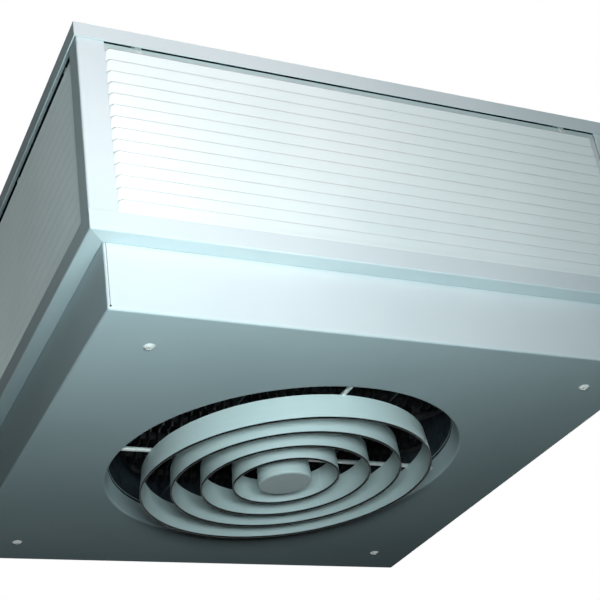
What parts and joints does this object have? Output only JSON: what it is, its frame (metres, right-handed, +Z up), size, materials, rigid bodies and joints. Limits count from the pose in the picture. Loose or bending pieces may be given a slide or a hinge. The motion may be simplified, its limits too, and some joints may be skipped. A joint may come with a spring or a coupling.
{
  "type": "ceiling mounted fan heater",
  "caption": "Square surface-mounted ceiling heater: louvred sides draw room air in, a fan blows it over finned elements and down through a concentric ring diffuser.",
  "frame": {"origin": "centre of the ceiling face, the top of the top plate", "axes": "+Z up into the ceiling, so the heater hangs below z = 0; X along the front, Y towards the rear; the front is the side nearest the camera in the picture"},
  "size_m": [0.6096, 0.6096, 0.3088],
  "materials": {
    "casing_enamel": "pale grey-white baked enamel, semi-gloss",
    "louvre_enamel": "off-white baked enamel, satin",
    "pan_enamel": "light grey-green baked enamel, satin",
    "diffuser_enamel": "light grey-green baked enamel, satin",
    "zinc_steel": "galvanised sheet steel with a soft spangle",
    "bright_steel": "zinc-plated steel",
    "element_sheath": "oxidised steel sheath and fins",
    "brass_fitting": "plain brass",
    "fan_aluminium": "plain rolled aluminium",
    "motor_enamel": "black baked enamel",
    "winding": "varnished copper winding and laminations",
    "black_moulding": "black phenolic moulding",
    "plunger_moulding": "natural nylon moulding",
    "red_button": "red moulded plastic",
    "lead_insulation": "red heat-resistant lead insulation"
  },
  "bodies": {
    "casing": {"ceiling_plate": "casing_enamel", "corner_post_front_left": "casing_enamel", "corner_post_front_right": "casing_enamel", "corner_post_rear_left": "casing_enamel", "corner_post_rear_right": "casing_enamel", "bottom_rail_front": "casing_enamel", "bottom_rail_rear": "casing_enamel", "bottom_rail_left": "casing_enamel", "bottom_rail_right": "casing_enamel", "louvre_panel_front": "louvre_enamel", "louvre_panel_rear": "louvre_enamel", "louvre_panel_left": "louvre_enamel", "louvre_panel_right": "louvre_enamel", "louvre_clips": "bright_steel", "face_pan": "pan_enamel", "face_screws": "bright_steel", "pan_bracket_front_left": "zinc_steel", "pan_bracket_front_right": "zinc_steel", "pan_bracket_rear_left": "zinc_steel", "pan_bracket_rear_right": "zinc_steel", "diffuser_ring_1": "diffuser_enamel", "diffuser_ring_2": "diffuser_enamel", "diffuser_ring_3": "diffuser_enamel", "diffuser_ring_4": "diffuser_enamel", "diffuser_hub": "diffuser_enamel", "diffuser_spider": "bright_steel", "spider_nuts": "bright_steel", "fan_deck": "zinc_steel", "heater_drum": "zinc_steel", "sheet_screws": "bright_steel", "heating_element_1": "element_sheath", "heating_element_2": "element_sheath", "heating_element_3": "element_sheath", "element_strap_left": "zinc_steel", "element_strap_right": "zinc_steel", "element_nuts": "brass_fitting", "motor_shell": "motor_enamel", "motor_end_cap": "motor_enamel", "motor_stator": "winding", "motor_bearings": "bright_steel", "motor_bracket": "zinc_steel", "motor_screws": "bright_steel", "control_box": "zinc_steel", "control_box_cover": "zinc_steel", "terminal_block": "black_moulding", "contactor_body": "black_moulding", "limit_switch": "black_moulding", "fan_delay_switch": "black_moulding", "internal_leads": "lead_insulation"},
    "fan": {"fan_hub": "bright_steel", "fan_spider": "bright_steel", "fan_blade_1": "fan_aluminium", "fan_blade_2": "fan_aluminium", "fan_blade_3": "fan_aluminium", "fan_blade_4": "fan_aluminium", "fan_blade_5": "fan_aluminium", "motor_rotor": "bright_steel", "motor_shaft": "bright_steel"},
    "contactor_plunger": {"contactor_plunger": "plunger_moulding"},
    "reset_button": {"reset_button": "red_button"}
  },
  "joints": [
    {"name": "fan_spin", "type": "hinge", "parent": "casing", "child": "fan", "pos_m": [0, 0, -0.21], "axis": [0, 0, 1], "continuous": true},
    {"name": "contactor_push", "type": "slide", "parent": "casing", "child": "contactor_plunger", "axis": [0, 0, -1], "range_m": [0, 0.003], "stiffness_N_per_m": 300},
    {"name": "reset_push", "type": "slide", "parent": "casing", "child": "reset_button", "axis": [0, 0, -1], "range_m": [0, 0.002], "stiffness_N_per_m": 300}
  ]
}
